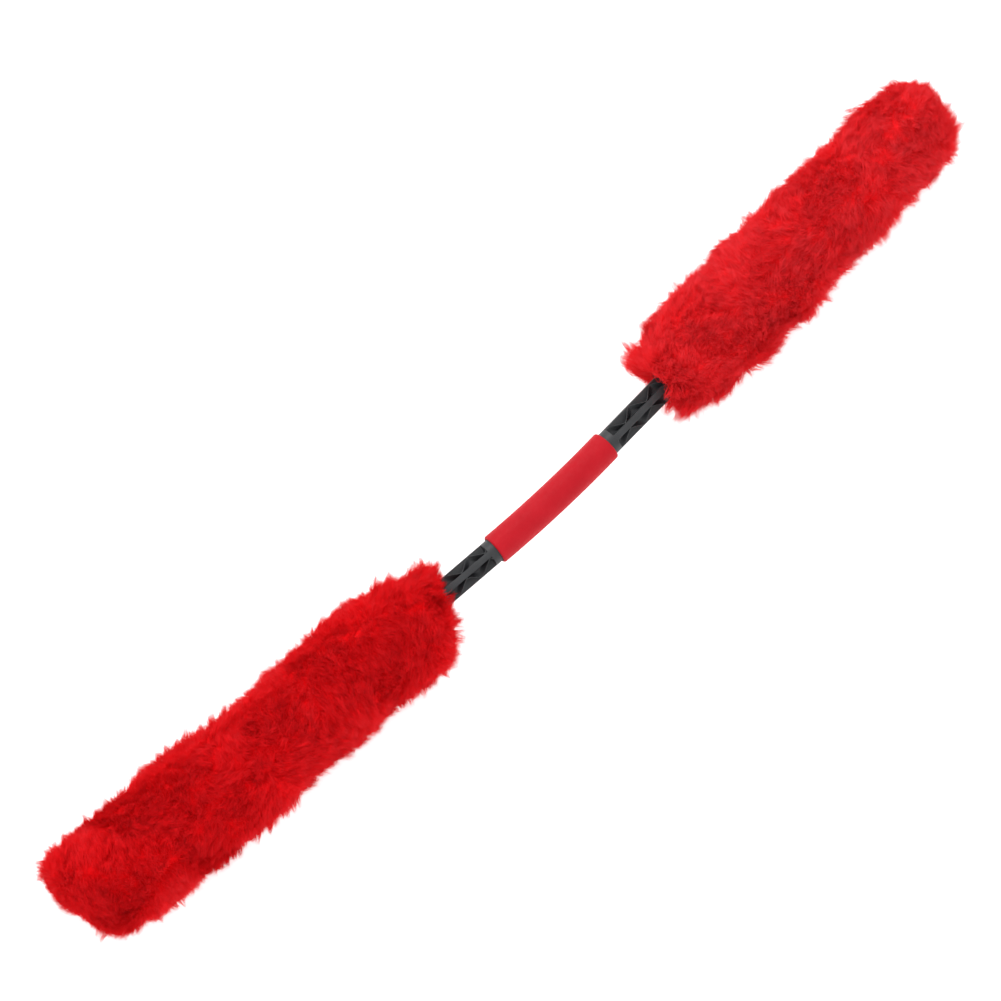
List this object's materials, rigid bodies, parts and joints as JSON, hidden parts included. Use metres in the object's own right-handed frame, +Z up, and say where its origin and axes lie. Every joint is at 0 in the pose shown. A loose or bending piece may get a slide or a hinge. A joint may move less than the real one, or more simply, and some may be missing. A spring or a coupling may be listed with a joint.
{
  "type": "double-ended wool brush",
  "caption": "Slim wand for cleaning inside wheels, with a wool sleeve on each end of a lattice shaft and a soft grip over a flexible middle.",
  "frame": {"origin": "on the surface that the brush lies on, under the middle of its box", "axes": "+X along the stick, from the longer sleeve to the shorter one; +Z up from the surface; the handle's set bend lies in the XY plane, with both ends towards +Y"},
  "size_m": [0.6748, 0.0744, 0.0616],
  "materials": {
    "shaft_plastic": "matte",
    "cap_plastic": "matte",
    "link_rubber": "matte",
    "pin_steel": "brushed",
    "grip_foam": "matte",
    "wool_pile": "matte",
    "wool_backing": "matte",
    "sewing_thread": "matte"
  },
  "bodies": {
    "handle": {"flex_link": "link_rubber", "grip_sleeve": "grip_foam"},
    "left_end": {"left_arm": "shaft_plastic", "left_link_pin": "pin_steel", "left_tip_cap": "cap_plastic", "left_sleeve_backing": "wool_backing", "left_mouth_tie": "sewing_thread", "left_seam_thread": "sewing_thread", "left_gather_thread": "sewing_thread", "left_wool_pile": "wool_pile"},
    "right_end": {"right_arm": "shaft_plastic", "right_link_pin": "pin_steel", "right_tip_cap": "cap_plastic", "right_sleeve_backing": "wool_backing", "right_mouth_tie": "sewing_thread", "right_seam_thread": "sewing_thread", "right_gather_thread": "sewing_thread", "right_wool_pile": "wool_pile"}
  },
  "joints": [
    {"name": "left_bend", "type": "hinge", "parent": "handle", "child": "left_end", "pos_m": [0.00273, -0.01023, 0.0285], "axis": [0, 0, 1], "range_deg": [-20, 20], "stiffness_Nm_per_rad": 1.5, "deforming": ["flex_link", "grip_sleeve"]},
    {"name": "right_bend", "type": "hinge", "parent": "handle", "child": "right_end", "pos_m": [0.03873, -0.01023, 0.0285], "axis": [0, 0, 1], "range_deg": [-20, 20], "stiffness_Nm_per_rad": 1.5}
  ]
}
